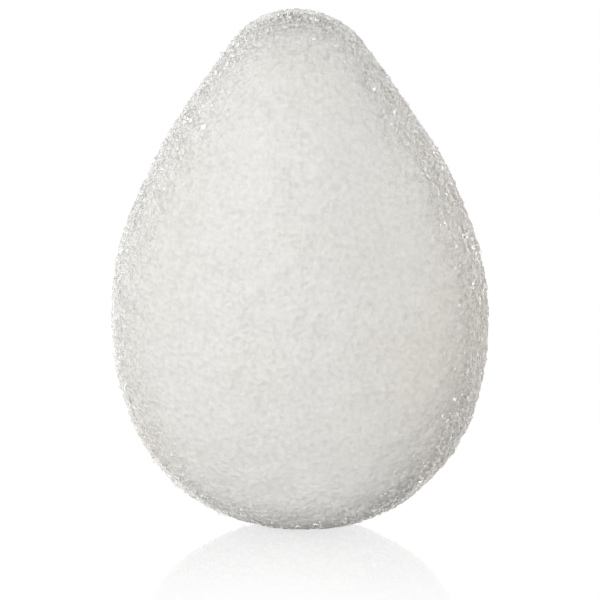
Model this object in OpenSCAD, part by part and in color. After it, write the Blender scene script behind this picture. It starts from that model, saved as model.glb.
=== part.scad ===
// Teardrop facial sponge, moulded in one piece from konjac root foam.
// It stands on its broad end with +Z up. The crowned face looks along -Y and the
// flat back, which was the open side of the mould, looks along +Y.

/* [Outline] */
// Height of the sponge, from the base to the top of the tip
sponge_h = 80; // [64:1:104]
// Greatest width, across the belly
sponge_w = 57.5; // [44:0.5:76]
// Height of the widest part of the belly above the base
belly_h = 29.5; // [22:0.5:38]
// Radius of the rounded tip, seen from the front
tip_r = 12.25; // [7:0.25:15]
// Sweep of the tip's arc down each side, in degrees
tip_sweep = 52; // [40:1:65]
// How far the tip leans to the left of the base, seen from the front
tip_lean = 0.8; // [-2:0.1:2]

/* [Depth] */
// Depth from the rim, where the outline is fullest, to the crown of the face
face_depth = 17; // [10:0.5:24]
// Depth from the rim to the flat back
back_depth = 13; // [8:0.5:20]
// Width of the rounding between the rim and the flat back, at the belly
back_round = 10.5; // [5:0.5:16]

/* [Base] */
// How far the broad end is pressed flat where the sponge stands on it
base_flat = 0.7; // [0.5:0.1:1.8]

/* [Surface] */
// Height of the gentle unevenness that moulded foam has
swell_h = 0.2; // [0:0.05:0.4]
// Distance between one swell and the next
swell_pitch = 17; // [12:0.5:30]

/* [Hidden] */

// Curve handles of the outline, as shares of the heights and widths they run along
shoulder_share = 0.17;  // of the flank's height, upright above the belly
flank_share = 0.72;     // of the flank's height, straight down from the tip
hip_share = 0.38;       // of the belly's height, upright below the belly
bottom_share = 0.74;    // of the half width, level along the bottom
// Curve handles of the section, as shares of the depth and of the half width
rise_share = 0.64;      // of the face's depth, straight forward from the rim
crown_share = 0.58;     // of the half width, level across the crown
quarter_share = 0.552;  // handle of a curve that passes for a quarter circle
// Waves of the swell along x and z, as shares of the shorter wave's count, and where each starts
long_x_share = 0.62;
long_z_share = 0.55;
short_y_share = 0.8;
long_x_turn = 40;
long_z_turn = 15;
short_turn = 75;

overrun = 1;  // how far the cut at the base reaches past the blank

tip_steps = 9;
flank_steps = 20;
hip_steps = 19;
face_steps = 22;
back_steps = 9;

half_w = sponge_w / 2;
depth = face_depth + back_depth;
rim_y = (face_depth - back_depth) / 2;  // puts the origin under the middle of the depth
low_h = belly_h + base_flat;            // height of the lower half before it is pressed flat
tip_z = sponge_h - tip_r;               // centre of the tip's arc
flat_s = 1 - back_round / half_w;       // size of the flat back beside the outline

function bezier(p, t) =
    let (u = 1 - t)
    u * u * u * p[0] + 3 * u * u * t * p[1] + 3 * u * t * t * p[2] + t * t * t * p[3];

// Right half of the outline as [x, z], from the bottom up to the top of the tip
flank_end = [tip_r * sin(tip_sweep), tip_z + tip_r * cos(tip_sweep)];
flank_way = [cos(tip_sweep), -sin(tip_sweep)];
flank_h = flank_end.y - belly_h;
hip = [[0, -base_flat], [half_w * bottom_share, -base_flat],
       [half_w, belly_h - low_h * hip_share], [half_w, belly_h]];
flank = [[half_w, belly_h], [half_w, belly_h + flank_h * shoulder_share],
         flank_end + flank_h * flank_share * flank_way, flank_end];
right_side = concat(
    [for (i = [0 : hip_steps - 1]) bezier(hip, i / hip_steps)],
    [for (i = [0 : flank_steps - 1]) bezier(flank, i / flank_steps)],
    [for (i = [0 : tip_steps])
        let (a = tip_sweep * (1 - i / tip_steps)) [tip_r * sin(a), tip_z + tip_r * cos(a)]]);
side_n = len(right_side);
outline = concat(right_side, [for (i = [side_n - 2 : -1 : 1]) [-right_side[i].x, right_side[i].y]]);
spokes = len(outline);

// Half sections as [size of the ring beside the outline, depth from the rim]
face_curve = [[1, 0], [1, -face_depth * rise_share], [crown_share, -face_depth], [0, -face_depth]];
back_curve = [[1, 0], [1, back_depth * quarter_share],
              [1 - (1 - flat_s) * (1 - quarter_share), back_depth], [flat_s, back_depth]];
rings = concat(
    [for (i = [1 : face_steps]) bezier(face_curve, 1 - i / (face_steps + 1))],
    [for (i = [0 : back_steps]) bezier(back_curve, i / back_steps)]);

// Height of the swell at a point, which dies away towards the flat back
function swell(p) =
    let (a = 360 / swell_pitch,
         fade = 1 - pow(max(0, p.y - rim_y) / back_depth, 2),
         long = sin(a * p.x * long_x_share + long_x_turn) * sin(a * p.z * long_z_share + long_z_turn),
         short = sin(a * (p.x + p.z) + short_turn) * sin(a * (p.z - p.x + p.y) * short_y_share))
    swell_h * fade * (long + short) / 2;

function swollen(p) =
    let (from_middle = p - [0, rim_y, belly_h])
    p + swell(p) * from_middle / norm(from_middle);

// Sideways lean, none at the belly and growing evenly towards the tip and the base
function leaning(p) = p + [tip_lean * (belly_h - p.z) / sponge_h, 0, 0];

// Closed skin through all the rings, from the crown of the face to the flat back
module moulded_blank() {
    crown = [0, rim_y - face_depth, belly_h];
    points = concat(
        [swollen(crown)],
        [for (r = rings) for (p = outline)
            leaning(swollen([p.x * r[0], rim_y + r[1], belly_h + (p.y - belly_h) * r[0]]))]);
    last = 1 + (len(rings) - 1) * spokes;
    faces = concat(
        [for (j = [0 : spokes - 1]) [0, 1 + (j + 1) % spokes, 1 + j]],
        [for (i = [0 : len(rings) - 2]) for (j = [0 : spokes - 1])
            let (a = 1 + i * spokes, b = a + spokes, k = (j + 1) % spokes)
            each [[a + j, a + k, b + k], [a + j, b + k, b + j]]],
        [[for (j = [0 : spokes - 1]) last + j]]);
    polyhedron(points, faces);
}

// The blank, pressed flat at the level of the base
module sponge_body() {
    color([0.91, 0.90, 0.88])
    difference() {
        moulded_blank();
        translate([-sponge_w, -depth, -base_flat - swell_h - overrun])
            cube([2 * sponge_w, 2 * depth, base_flat + swell_h + overrun]);
    }
}

sponge_body();
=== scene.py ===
# Teardrop konjac sponge: soft foam heart, open pore webs round it, and the pale table it stands on
import math

import bpy
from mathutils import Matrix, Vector


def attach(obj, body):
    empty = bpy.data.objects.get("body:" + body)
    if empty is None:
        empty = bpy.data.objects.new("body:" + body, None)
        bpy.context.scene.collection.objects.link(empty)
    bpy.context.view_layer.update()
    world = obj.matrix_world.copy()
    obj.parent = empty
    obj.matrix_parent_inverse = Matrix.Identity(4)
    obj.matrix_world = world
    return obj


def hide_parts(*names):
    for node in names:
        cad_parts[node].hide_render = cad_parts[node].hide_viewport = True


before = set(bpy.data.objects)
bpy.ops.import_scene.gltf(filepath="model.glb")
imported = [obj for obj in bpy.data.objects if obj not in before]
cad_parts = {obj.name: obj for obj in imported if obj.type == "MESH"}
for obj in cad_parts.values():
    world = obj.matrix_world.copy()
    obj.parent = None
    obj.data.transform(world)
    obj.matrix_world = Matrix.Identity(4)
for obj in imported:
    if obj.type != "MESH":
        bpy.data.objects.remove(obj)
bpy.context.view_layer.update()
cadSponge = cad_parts["sponge_body"]
scene = bpy.context.scene


def pickOnly(obj):
    bpy.ops.object.select_all(action="DESELECT")
    obj.select_set(True)
    bpy.context.view_layer.objects.active = obj


def applyAll(obj):
    pickOnly(obj)
    for mod in list(obj.modifiers):
        bpy.ops.object.modifier_apply(modifier=mod.name)


def copyOf(obj, name):
    twin = obj.copy()
    twin.data = obj.data.copy()
    twin.name = name
    scene.collection.objects.link(twin)
    return twin


def cloudTexture(name, size):
    tex = bpy.data.textures.new(name, "CLOUDS")
    tex.noise_scale = size
    tex.noise_depth = 1
    return tex


def pushOut(obj, name, tex, height):
    mod = obj.modifiers.new(name, "DISPLACE")
    mod.texture = tex
    mod.texture_coords = "LOCAL"
    mod.strength = height


def smoothStep(value, low, high):
    share = min(max((value - low) / (high - low), 0.0), 1.0)
    return share * share * (3 - 2 * share)


def feed(tree, socket, value):
    # a socket takes a fixed value or another node's output
    if isinstance(value, bpy.types.NodeSocket):
        tree.links.new(value, socket)
    else:
        socket.default_value = value


def addNode(tree, kind, inputs):
    node = tree.nodes.new(kind)
    for name, value in inputs.items():
        feed(tree, node.inputs[name], value)
    return node


def feedInOrder(tree, node, values):
    for socket, value in zip([s for s in node.inputs if s.enabled], values):
        feed(tree, socket, value)
    return next(s for s in node.outputs if s.enabled)


def addMath(tree, operation, *values):
    node = tree.nodes.new("ShaderNodeMath")
    node.operation = operation
    return feedInOrder(tree, node, values)


def addVectorMath(tree, operation, *values):
    node = tree.nodes.new("ShaderNodeVectorMath")
    node.operation = operation
    return feedInOrder(tree, node, values)


def addRange(tree, value, source, target=(0.0, 1.0), smooth=False):
    node = tree.nodes.new("ShaderNodeMapRange")
    node.interpolation_type = "SMOOTHSTEP" if smooth else "LINEAR"
    return feedInOrder(tree, node, (value, *source, *target))


def addTint(tree, share, first, second, way="MIX"):
    node = tree.nodes.new("ShaderNodeMix")
    node.data_type = "RGBA"
    node.blend_type = way
    return feedInOrder(tree, node, (share, first, second))


def addNoise(tree, spot, size, start, detail=0.0):
    shifted = addVectorMath(tree, "ADD", spot, (start,) * 3)
    noise = addNode(tree, "ShaderNodeTexNoise", {"Vector": shifted, "Scale": 1 / size, "Detail": detail})
    return noise.outputs[0]


def addRidges(tree, spot, size, width, start):
    # curling crests where a smooth noise crosses its middle
    level = addMath(tree, "SUBTRACT", addNoise(tree, spot, size, start), 0.5)
    return addRange(tree, addMath(tree, "ABSOLUTE", level), (0.0, width), (1.0, 0.0), True)


# camera, at the photograph's framing
shot = {
    "distance": 0.60,
    "elevation": 12.5,  # degrees above the table
    "aimHeight": 0.0357,
    "lens": 238.5,
    "nearest": 0.01,
}


def makeCamera():
    up = math.radians(shot["elevation"])
    reach = shot["distance"]
    spot = (0, -reach * math.cos(up), shot["aimHeight"] + reach * math.sin(up))
    bpy.ops.object.camera_add(location=spot, rotation=(math.radians(90) - up, 0, 0))
    cam = bpy.context.object
    cam.data.lens = shot["lens"]
    cam.data.clip_start = shot["nearest"]
    scene.camera = cam


makeCamera()
print("camera placed")

# the moulded blank's skin, which the foam and the webs are both made from
skin = {
    "merge": 1e-6,
    "voxel": 0.00045,
    "softenShare": 0.5,
    "softenTimes": 8,
    "waveSize": 0.005,
    "waveHeight": 0.00018,
    "rimFacing": (0.1, 0.94),  # how squarely the skin faces front or back, from full rim to full face
    "baseClosed": 0.65,  # share of the rim's pores that are closed where the sponge stands
    "baseReach": 0.006,  # height at which they are all open
}


def makeSkin():
    copy = bpy.data.objects.new("skin_source", cadSponge.data.copy())
    copy.data.materials.clear()
    scene.collection.objects.link(copy)
    pickOnly(copy)
    bpy.ops.object.mode_set(mode="EDIT")
    bpy.ops.mesh.select_all(action="SELECT")
    bpy.ops.mesh.remove_doubles(threshold=skin["merge"])
    bpy.ops.object.mode_set(mode="OBJECT")
    remesh = copy.modifiers.new("voxels", "REMESH")
    remesh.mode = "VOXEL"
    remesh.voxel_size = skin["voxel"]
    soften = copy.modifiers.new("soften", "SMOOTH")
    soften.factor = skin["softenShare"]
    soften.iterations = skin["softenTimes"]
    pushOut(copy, "waves", cloudTexture("waves", skin["waveSize"]), skin["waveHeight"])
    applyAll(copy)
    rim = copy.vertex_groups.new(name="rim")
    low, high = skin["rimFacing"]
    for vert in copy.data.vertices:
        share = smoothStep(-abs(vert.normal.y), -high, -low)
        closed = skin["baseClosed"] * smoothStep(-vert.co.z, -skin["baseReach"], 0.0)
        rim.add([vert.index], share * (1 - closed), "REPLACE")
    return copy


def sinkIn(obj, faceDepth, rimDepth):
    overall = obj.modifiers.new("sinkAll", "DISPLACE")
    overall.strength = -faceDepth
    overall.mid_level = 0.0
    atRim = obj.modifiers.new("sinkRim", "DISPLACE")
    atRim.strength = faceDepth - rimDepth
    atRim.mid_level = 0.0
    atRim.vertex_group = "rim"


# the foam's soft heart, set in from the skin, lumpy and with a curling relief
foam = {
    "sink": (0.0003, 0.0014),  # at the broad faces, at the rim
    "lumpSize": 0.0045,
    "lumpHeight": 0.0003,
    "wormSize": 0.0008,
    "wormHeight": 0.0001,
    "crumbSize": 0.0005,
    "crumbHeight": 0.00005,
    "crestWidth": 0.2,
    "crumbStart": 0.3,  # how far off the crumbs' noise is read from the worms'
    "rimPores": 3.8,  # how many times deeper the relief is at the rim
}

# the look of the foam, of its struts and of the scraps of cell wall between them
finish = {
    # tint of the crests and of the valleys, how far light travels inside, roughness, gloss, clear coat
    "konjacFoam": ((0.88, 0.873, 0.845, 1), (0.76, 0.753, 0.727, 1), 0.002, 0.5, 0.5, 0.0),
    "wallGel": ((0.975, 0.968, 0.945, 1), (0.96, 0.953, 0.93, 1), 0.0, 0.2, 1.0, 0.0),
    "flakeGel": ((0.98, 0.975, 0.96, 1), (0.97, 0.965, 0.95, 1), 0.0, 0.12, 1.0, 1.0),
    "refraction": 1.4,
    "coatRough": 0.06,
    "coatRefraction": 1.8,
    "grainSize": 0.0008,
    "grainDetail": 3.0,
    "grainRough": 0.65,
    "grainSpan": (0.3, 0.7),
    "speckSize": 0.0007,  # distance between one pale or dark speck and the next
    "speckReach": 0.3,
    "speckRarity": 3.0,
    "speckShare": 0.9,
    # soft patches of another tint: size, where the noise starts, from and to which level, tint
    "patches": [(0.014, 0.0, 0.45, 0.75, (1.0, 0.99, 0.984, 1)),
                (0.05, 2.2, 0.48, 0.68, (1.0, 0.982, 0.962, 1))],
    "paintedRimLight": (0.98, 0.972, 0.955, 1),  # painted light: the foam is made paler towards the rim, to offset the shade the webs cast there
    # painted shade of the open pores: thin dark marks, fading from the rim towards the broad faces
    "poreShade": [(0.0013, 0.1, (0.866, 0.86, 0.852, 1)), (0.0007, 0.1, (0.888, 0.883, 0.875, 1))],
    "poreShadeStart": 0.7,
    "poreShadeReach": 0.2,  # share of rim at which the marks are at their full strength
    "bump": 0.4,
    "bumpDepth": 0.00006,
}


def addGrain(tree, spot):
    # mottled tone from 0 to 1, with single pale and dark specks
    grain = addNoise(tree, spot, finish["grainSize"], 0.0, finish["grainDetail"])
    grain.node.inputs["Roughness"].default_value = finish["grainRough"]
    cells = addNode(tree, "ShaderNodeTexVoronoi", {"Vector": spot, "Scale": 1 / finish["speckSize"]})
    dot = addRange(tree, cells.outputs["Distance"], (0.0, finish["speckReach"]), (1.0, 0.0), True)
    paleOrDark = addRange(tree, cells.outputs["Color"], (0.0, 1.0), (-1.0, 1.0))
    speck = addMath(tree, "MULTIPLY", addMath(tree, "POWER", paleOrDark, finish["speckRarity"]), dot)
    mottled = addRange(tree, grain, finish["grainSpan"])
    level = addMath(tree, "MULTIPLY_ADD", speck, finish["speckShare"], mottled)
    level.node.use_clamp = True
    return level


# painted shade: thin dark marks for the shadows in open pores, strongest at the rim
def addPoreShade(tree, spot, share, colour):
    strength = addRange(tree, share, (0.0, finish["poreShadeReach"]))
    for size, width, tint in finish["poreShade"]:
        ridges = addRidges(tree, spot, size, width, finish["poreShadeStart"])
        colour = addTint(tree, addMath(tree, "MULTIPLY", ridges, strength), colour, tint, "MULTIPLY")
    return colour


def addPatches(tree, spot, colour):
    for size, start, low, high, tint in finish["patches"]:
        patch = addRange(tree, addNoise(tree, spot, size, start), (low, high), smooth=True)
        colour = addTint(tree, patch, colour, tint, "MULTIPLY")
    return colour


def foamMaterial(name):
    crest, valley, reach, rough, gloss, coat = finish[name]
    mat = bpy.data.materials.new(name)
    mat.use_nodes = True
    tree = mat.node_tree
    spot = tree.nodes.new("ShaderNodeTexCoord").outputs["Object"]
    thin = tree.nodes.new("ShaderNodeAttribute")
    thin.attribute_name = "rimShare"
    share = thin.outputs["Fac"]
    grain = addGrain(tree, spot)
    colour = addTint(tree, grain, valley, crest)
    # painted light: the base colour turns paler towards the rim
    colour = addTint(tree, share, colour, finish["paintedRimLight"])
    # painted shade of open pores, darker towards the rim
    colour = addPoreShade(tree, spot, share, colour)
    colour = addPatches(tree, spot, colour)
    bump = {"Strength": finish["bump"], "Distance": finish["bumpDepth"], "Height": grain}
    values = {
        "Base Color": colour,
        "Normal": addNode(tree, "ShaderNodeBump", bump).outputs["Normal"],
        "Roughness": rough,
        "IOR": finish["refraction"],
        "Specular IOR Level": gloss,
        "Coat Weight": coat,
        "Coat Roughness": finish["coatRough"],
        "Coat IOR": finish["coatRefraction"],
        "Subsurface Weight": 1.0 if reach else 0.0,
        "Subsurface Radius": (1.0, 1.0, 1.0),
        "Subsurface Scale": reach,
    }
    shader = tree.nodes["Principled BSDF"]
    for socket, value in values.items():
        feed(tree, shader.inputs[socket], value)
    return mat


def newTree(name):
    tree = bpy.data.node_groups.new(name, "GeometryNodeTree")
    tree.interface.new_socket("Geometry", in_out="INPUT", socket_type="NodeSocketGeometry")
    tree.interface.new_socket("Geometry", in_out="OUTPUT", socket_type="NodeSocketGeometry")
    start = tree.nodes.new("NodeGroupInput")
    end = tree.nodes.new("NodeGroupOutput")
    return tree, start.outputs[0], end.inputs[0]


def addRimShare(tree):
    node = tree.nodes.new("GeometryNodeInputNamedAttribute")
    node.data_type = "FLOAT"
    node.inputs["Name"].default_value = "rim"
    return node.outputs["Attribute"]


def addMove(tree, geometry, offset):
    move = addNode(tree, "GeometryNodeSetPosition", {"Geometry": geometry, "Offset": offset})
    return move.outputs["Geometry"]


def reliefTree():
    tree, start, end = newTree("relief")
    place = tree.nodes.new("GeometryNodeInputPosition").outputs[0]
    normal = tree.nodes.new("GeometryNodeInputNormal").outputs[0]
    share = addRimShare(tree)
    worms = addRidges(tree, place, foam["wormSize"], foam["crestWidth"], 0.0)
    crumbs = addRidges(tree, place, foam["crumbSize"], foam["crestWidth"], foam["crumbStart"])
    wormRise = addMath(tree, "MULTIPLY", worms, foam["wormHeight"])
    rise = addMath(tree, "MULTIPLY_ADD", crumbs, foam["crumbHeight"], wormRise)
    deeper = addMath(tree, "MULTIPLY_ADD", addMath(tree, "SQRT", share), foam["rimPores"] - 1, 1.0)
    outwards = addVectorMath(tree, "SCALE", normal, addMath(tree, "MULTIPLY", rise, deeper))
    keep = tree.nodes.new("GeometryNodeStoreNamedAttribute")
    keep.data_type = "FLOAT"
    keep.domain = "POINT"
    keep.inputs["Name"].default_value = "rimShare"
    feed(tree, keep.inputs["Geometry"], addMove(tree, start, outwards))
    feed(tree, keep.inputs["Value"], share)
    feed(tree, end, keep.outputs["Geometry"])
    return tree


def makeFoamBody(source):
    body = copyOf(source, "sponge_foam")
    sinkIn(body, *foam["sink"])
    finer = body.modifiers.new("finer", "SUBSURF")
    finer.levels = finer.render_levels = 1
    pushOut(body, "lumps", cloudTexture("lumps", foam["lumpSize"]), foam["lumpHeight"])
    relief = body.modifiers.new("relief", "NODES")
    relief.node_group = reliefTree()
    applyAll(body)
    bpy.ops.object.shade_smooth()
    return body


# nets of struts that stand clear of the foam round the rim and sink into it towards the broad faces
web = {
    "cells": [15000, 17000, 10000],  # over the whole skin, before a web is trimmed to the rim
    "faceSink": [0.00038, 0.0006, 0.0008],
    "rimSink": [0.0003, 0.0009, 0.0012],
    "least": [0.02, 0.12, 0.35],  # least share of rim that a web is kept at
    "strut": [0.00004, 0.000046, 0.00005],
    "ribbon": (1.7, 0.8, 1.0),  # a strut is wider than it is thick
    "sides": 3,
    "lumpSize": [0.0022, 0.0029, 0.0018],
    "lumpHeight": 0.0003,
    "shake": 0.0002,
    "stray": 0.00018,
    "crossShare": 0.8,  # share of corners that also send a strut inwards
    "crossReach": 0.00045,
    "lostShare": [0.3, 0.45, 0.45],  # share of struts that have torn away at the rim
    "lostMost": 0.95,  # and where the web ends
    "thinReach": 0.4,  # share of rim over which the struts grow as dense as at the rim
    "peakShare": 0.05,  # share of corners that stand proud of the web
    "peakHeight": 0.00035,
    "flakeShare": (0.22, 0.6),  # of the cells at the left and the right that still hold a scrap of wall
    "flakeSize": (0.3, 0.7),  # beside the cell
    "flakeTilt": 0.00008,
    "flakeThick": 0.00004,
    "flakeMerge": 1e-6,
    "pressed": 0.0004,  # height over which the struts are pressed together on the table
    # first seed of each random draw, to which the web's number is added
    "seeds": {"stray": 0, "cross": 10, "lost": 20, "flake": 30, "peak": 40, "tilt": 50, "size": 60},
}


def addRandom(tree, kind, draw, index, *values):
    node = tree.nodes.new("FunctionNodeRandomValue")
    node.data_type = kind
    node.inputs["Seed"].default_value = web["seeds"][draw] + index
    return feedInOrder(tree, node, values)


def addScatter(tree, draw, index, reach):
    return addRandom(tree, "FLOAT_VECTOR", draw, index, (-reach,) * 3, (reach,) * 3)


def without(tree, geometry, chosen, domain="POINT"):
    node = addNode(tree, "GeometryNodeDeleteGeometry", {"Geometry": geometry, "Selection": chosen})
    node.domain = domain
    return node.outputs["Geometry"]


def joined(tree, *parts):
    node = tree.nodes.new("GeometryNodeJoinGeometry")
    for part in parts:
        feed(tree, node.inputs[0], part)
    return node.outputs["Geometry"]


def withLook(tree, geometry, mat):
    node = addNode(tree, "GeometryNodeSetMaterial", {"Geometry": geometry, "Material": mat})
    return node.outputs["Geometry"]


def addCorners(tree, mesh, index):
    # the net's faces turn into corners that stray a little, some of them proud of the web
    dual = addNode(tree, "GeometryNodeDualMesh", {"Mesh": mesh}).outputs["Dual Mesh"]
    normal = tree.nodes.new("GeometryNodeInputNormal").outputs[0]
    luck = addRandom(tree, "FLOAT", "peak", index)
    peak = addRange(tree, luck, (1 - web["peakShare"], 1.0), (0.0, web["peakHeight"]))
    proud = addVectorMath(tree, "SCALE", normal, peak)
    stray = addScatter(tree, "stray", index, web["stray"])
    return addMove(tree, dual, addVectorMath(tree, "ADD", stray, proud))


def addStruts(tree, corners, index, share, otherSide):
    normal = tree.nodes.new("GeometryNodeInputNormal").outputs[0]
    cross = tree.nodes.new("GeometryNodeExtrudeMesh")
    cross.mode = "VERTICES"
    feed(tree, cross.inputs["Mesh"], corners)
    feed(tree, cross.inputs["Selection"], addRandom(tree, "BOOLEAN", "cross", index, web["crossShare"]))
    feed(tree, cross.inputs["Offset"], addVectorMath(tree, "SCALE", normal, -web["crossReach"]))
    wires = addNode(tree, "GeometryNodeMeshToCurve", {"Mesh": cross.outputs["Mesh"]}).outputs["Curve"]
    least = web["least"][index]
    thinning = (web["lostMost"], web["lostShare"][index])
    lostShare = addRange(tree, share, (least, least + web["thinReach"]), thinning)
    kept = without(tree, wires, addRandom(tree, "BOOLEAN", "lost", index, lostShare), "CURVE")
    kept = without(tree, kept, otherSide, "CURVE")
    circle = {"Resolution": web["sides"], "Radius": web["strut"][index]}
    ring = addNode(tree, "GeometryNodeCurvePrimitiveCircle", circle).outputs["Curve"]
    flatter = addNode(tree, "GeometryNodeTransform", {"Geometry": ring, "Scale": web["ribbon"]})
    tube = {"Curve": kept, "Profile Curve": flatter.outputs["Geometry"], "Fill Caps": True}
    return addNode(tree, "GeometryNodeCurveToMesh", tube).outputs["Mesh"]


def addFlakes(tree, corners, index, share, otherSide, flakeShare):
    # scraps of cell wall that are still there, as thin closed flakes
    allowed = addMath(tree, "MULTIPLY", addMath(tree, "SQRT", share), flakeShare)
    bare = addMath(tree, "GREATER_THAN", addRandom(tree, "FLOAT", "flake", index), allowed)
    walls = without(tree, without(tree, corners, bare, "FACE"), otherSide, "FACE")
    apart = addNode(tree, "GeometryNodeSplitEdges", {"Mesh": walls}).outputs["Mesh"]
    shrunk = tree.nodes.new("GeometryNodeScaleElements")
    shrunk.domain = "FACE"
    feed(tree, shrunk.inputs["Geometry"], apart)
    feed(tree, shrunk.inputs["Scale"], addRandom(tree, "FLOAT", "size", index, *web["flakeSize"]))
    tilted = addMove(tree, shrunk.outputs["Geometry"], addScatter(tree, "tilt", index, web["flakeTilt"]))
    raised = addNode(tree, "GeometryNodeExtrudeMesh", {"Mesh": tilted, "Offset Scale": web["flakeThick"]})
    raised.mode = "FACES"
    raised.inputs["Individual"].default_value = True
    under = addNode(tree, "GeometryNodeFlipFaces", {"Mesh": tilted}).outputs["Mesh"]
    both = joined(tree, raised.outputs["Mesh"], under)
    closed = addNode(tree, "GeometryNodeMergeByDistance", {"Geometry": both, "Distance": web["flakeMerge"]})
    return closed.outputs["Geometry"]


def strutTree(index, side, strutLook, flakeLook):
    # each net is cut in two down the middle, left and right
    tree, start, end = newTree("struts")
    place = tree.nodes.new("GeometryNodeInputPosition").outputs[0]
    across = addNode(tree, "ShaderNodeSeparateXYZ", {0: place}).outputs["X"]
    otherSide = addMath(tree, "MULTIPLY", across, -side)
    share = addRimShare(tree)
    corners = addCorners(tree, start, index)
    struts = addStruts(tree, corners, index, share, otherSide)
    flakeShare = web["flakeShare"][0 if side < 0 else 1]
    flakes = addFlakes(tree, corners, index, share, otherSide, flakeShare)
    feed(tree, end, joined(tree, withLook(tree, struts, strutLook), withLook(tree, flakes, flakeLook)))
    return tree


def trimTree(least):
    tree, start, end = newTree("rimOnly")
    below = addMath(tree, "LESS_THAN", addRimShare(tree), least)
    feed(tree, end, without(tree, start, below))
    return tree


def makeNet(source, index):
    net = copyOf(source, "net_" + str(index + 1))
    sinkIn(net, web["faceSink"][index], web["rimSink"][index])
    pushOut(net, "lumps", cloudTexture("webLumps" + str(index), web["lumpSize"][index]), web["lumpHeight"])
    applyAll(net)
    whole = len(net.data.polygons)
    bpy.ops.object.mode_set(mode="EDIT")
    bpy.ops.mesh.select_all(action="SELECT")
    bpy.ops.transform.vertex_random(offset=web["shake"], seed=index + 1)
    bpy.ops.object.mode_set(mode="OBJECT")
    trim = net.modifiers.new("trim", "NODES")
    trim.node_group = trimTree(web["least"][index])
    thin = net.modifiers.new("thin", "DECIMATE")
    thin.ratio = web["cells"][index] / whole
    thin.use_collapse_triangulate = True
    applyAll(net)
    print("net", index + 1, "has", len(net.data.polygons), "faces")
    return net


def makeWeb(net, index, side):
    half = copyOf(net, "pore_web_" + str(index + 1) + ("_left" if side < 0 else "_right"))
    struts = half.modifiers.new("struts", "NODES")
    struts.node_group = strutTree(index, side, wallGel, flakeGel)
    applyAll(half)
    bpy.ops.object.shade_flat()
    for point in half.data.vertices:
        if point.co.z < web["pressed"]:
            point.co.z = web["pressed"] * math.exp(point.co.z / web["pressed"] - 1)
    return half


source = makeSkin()
foamBody = makeFoamBody(source)
foamBody.data.materials.append(foamMaterial("konjacFoam"))
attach(foamBody, "root")
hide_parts("sponge_body")
print("foam body has", len(foamBody.data.vertices), "points")
wallGel = foamMaterial("wallGel")
flakeGel = foamMaterial("flakeGel")
for index in range(len(web["least"])):
    net = makeNet(source, index)
    for side in (-1, 1):
        half = makeWeb(net, index, side)
        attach(half, "root")
        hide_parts("sponge_body")
        print(half.name, "has", sum(len(f.vertices) - 2 for f in half.data.polygons), "triangles")
    bpy.data.objects.remove(net)
bpy.data.objects.remove(source)

# pale glossy table, white to the camera, with a faint mirror image that fades
table = {
    "tone": 0.26,
    "size": 6.0,
    "gloss": 0.04,
    "fadeReach": 0.061,  # distance from the middle at which the mirror image has faded
    "mirrorShare": 0.27,
    "glow": 1.24,
    "glowShare": 0.8,
}


def raysThatSee(tree):
    rays = tree.nodes.new("ShaderNodeLightPath").outputs
    direct = addMath(tree, "MAXIMUM", rays["Is Camera Ray"], rays["Is Glossy Ray"])
    return addMath(tree, "MAXIMUM", direct, rays["Is Transmission Ray"])


def blended(tree, share, first, second):
    mix = tree.nodes.new("ShaderNodeMixShader")
    for socket, value in zip(mix.inputs, (share, first, second)):
        feed(tree, socket, value)
    return mix.outputs[0]


def makeTable():
    bpy.ops.mesh.primitive_plane_add(size=table["size"], location=(0, 0, 0))
    top = bpy.context.object
    top.name = "table_top"
    mat = bpy.data.materials.new("paleTable")
    mat.use_nodes = True
    tree = mat.node_tree
    tree.nodes.clear()
    white = (1, 1, 1, 1)
    matt = addNode(tree, "ShaderNodeBsdfDiffuse", {"Color": (table["tone"],) * 3 + (1,)})
    glow = addNode(tree, "ShaderNodeEmission", {"Color": white, "Strength": table["glow"]})
    gloss = addNode(tree, "ShaderNodeBsdfGlossy", {"Color": white, "Roughness": table["gloss"]})
    seen = addMath(tree, "MULTIPLY", raysThatSee(tree), table["glowShare"])
    lit = blended(tree, seen, matt.outputs[0], glow.outputs[0])
    spot = tree.nodes.new("ShaderNodeTexCoord").outputs["Object"]
    reach = addVectorMath(tree, "LENGTH", spot)
    fade = addRange(tree, reach, (0.0, table["fadeReach"]), (table["mirrorShare"], 0.0))
    addNode(tree, "ShaderNodeOutputMaterial", {"Surface": blended(tree, fade, lit, gloss.outputs[0])})
    top.data.materials.append(mat)


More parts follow.
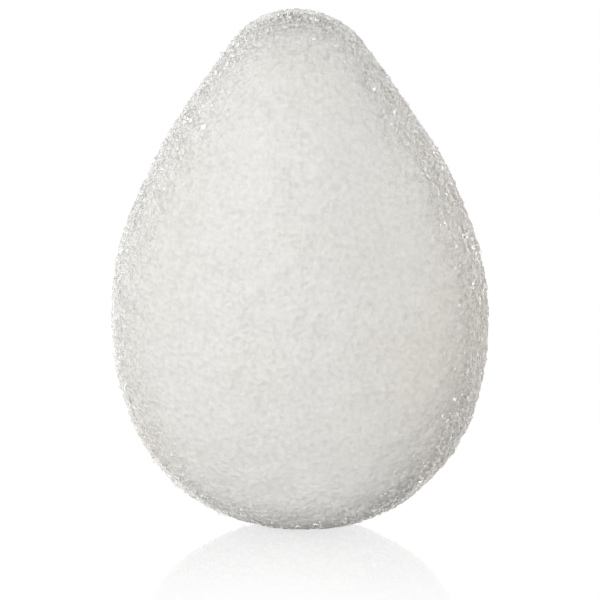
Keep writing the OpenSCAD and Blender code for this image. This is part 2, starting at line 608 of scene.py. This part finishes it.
# soft lamps well away from the sponge, and the light of the studio's walls
lights = {
    "aim": (0, 0, 0.036),
    "keySpot": (-0.36, -0.85, 0.195),
    "keySize": (0.7, 0.14),
    "keyPower": 5.9,
    "rimSpots": [(-0.75, 0.55, 0.35), (0.76, 0.15, 0.45)],
    "rimTones": [(1.0, 1.0, 1.0), (1.0, 0.96, 0.935)],
    "rimSize": (0.25, 0.25),
    "rimPowers": [0.75, 1.05],
    "topSpot": (-0.1, 0.25, 0.95),
    "topSize": (0.25, 0.25),
    "topPower": 0.3,
    "glintSpot": (-0.32, -0.80, 0.42),
    "glintSize": (0.06, 0.06),
    "glintPower": 0.65,
    "brightWay": (0.25, 0.97, 0.0),  # the way to the studio's brightest wall
    "wallTurn": (-0.6, 0.0),  # how squarely a wall lies that way, from the darkest to the brightest
    "frontLevel": 0.58,
    "backLevel": 2.45,
    "wallHeight": 0.8,  # how far up the light of the studio's walls reaches
}


def makeLamp(name, spot, size, power, tone=(1.0, 1.0, 1.0)):
    bpy.ops.object.light_add(type="AREA", location=spot)
    lamp = bpy.context.object
    lamp.name = name
    lamp.data.shape = "RECTANGLE"
    lamp.data.size, lamp.data.size_y = size
    lamp.data.energy = power
    lamp.data.color = tone
    toSponge = Vector(lights["aim"]) - Vector(spot)
    lamp.rotation_euler = toSponge.to_track_quat("-Z", "Y").to_euler()


def makeWorld():
    world = bpy.data.worlds.new("studio")
    scene.world = world
    world.use_nodes = True
    tree = world.node_tree
    way = tree.nodes.new("ShaderNodeTexCoord").outputs["Generated"]
    facing = addVectorMath(tree, "DOT_PRODUCT", way, lights["brightWay"])
    levels = (lights["frontLevel"], lights["backLevel"])
    depth = addRange(tree, facing, lights["wallTurn"], levels, True)
    steep = addMath(tree, "ABSOLUTE", addNode(tree, "ShaderNodeSeparateXYZ", {0: way}).outputs["Z"])
    dip = addRange(tree, steep, (0.0, lights["wallHeight"]), (1.0, 0.0), True)
    dimmed = addMath(tree, "MULTIPLY", depth, dip)
    level = addNode(tree, "ShaderNodeMix", {"Factor": raysThatSee(tree), "A": dimmed, "B": 1.0})
    back = tree.nodes["Background"]
    feed(tree, back.inputs["Color"], (1, 1, 1, 1))
    feed(tree, back.inputs["Strength"], level.outputs["Result"])


def makeLights():
    makeLamp("key", lights["keySpot"], lights["keySize"], lights["keyPower"])
    makeLamp("glint", lights["glintSpot"], lights["glintSize"], lights["glintPower"])
    makeLamp("top", lights["topSpot"], lights["topSize"], lights["topPower"])
    for index, spot in enumerate(lights["rimSpots"]):
        power = lights["rimPowers"][index]
        makeLamp("rimLamp" + str(index + 1), spot, lights["rimSize"], power, lights["rimTones"][index])
    makeWorld()


makeTable()
makeLights()
scene.view_settings.view_transform = "Standard"
print("table and lights set")
